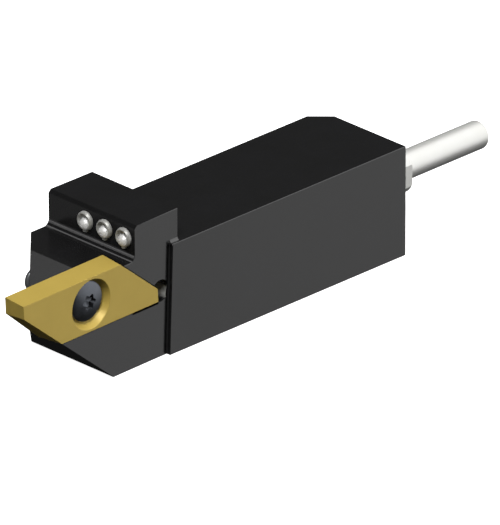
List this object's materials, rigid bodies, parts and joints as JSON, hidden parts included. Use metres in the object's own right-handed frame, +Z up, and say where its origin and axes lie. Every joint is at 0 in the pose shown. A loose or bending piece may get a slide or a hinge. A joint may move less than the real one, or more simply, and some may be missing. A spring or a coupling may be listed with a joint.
{
  "type": "grooving tool holder",
  "caption": "Square-shank grooving tool holder with a raised coolant block, jets, a screwed-on double-ended insert and a coolant tube at the rear.",
  "frame": {"origin": "middle of the shank's bottom face, halfway between the step behind the head and the rear face", "axes": "+X along the shank from the cutting head to the coolant tube, -Y the side that carries the insert, +Z up"},
  "size_m": [0.0698, 0.0126, 0.0154],
  "materials": {
    "black_oxide_steel": "matt black oxide",
    "gold_coated_carbide": "satin gold coating",
    "dark_screw_steel": "satin dark",
    "bright_steel": "bright turned",
    "soft_copper": "satin"
  },
  "bodies": {
    "root": {"tool_body": "black_oxide_steel", "cutting_insert": "gold_coated_carbide", "insert_screw": "dark_screw_steel", "coolant_nozzle_1": "bright_steel", "coolant_nozzle_2": "bright_steel", "coolant_nozzle_3": "bright_steel", "riser_plug": "dark_screw_steel", "gallery_plug": "dark_screw_steel", "coolant_tube": "bright_steel", "tube_seal": "soft_copper"}
  },
  "joints": []
}
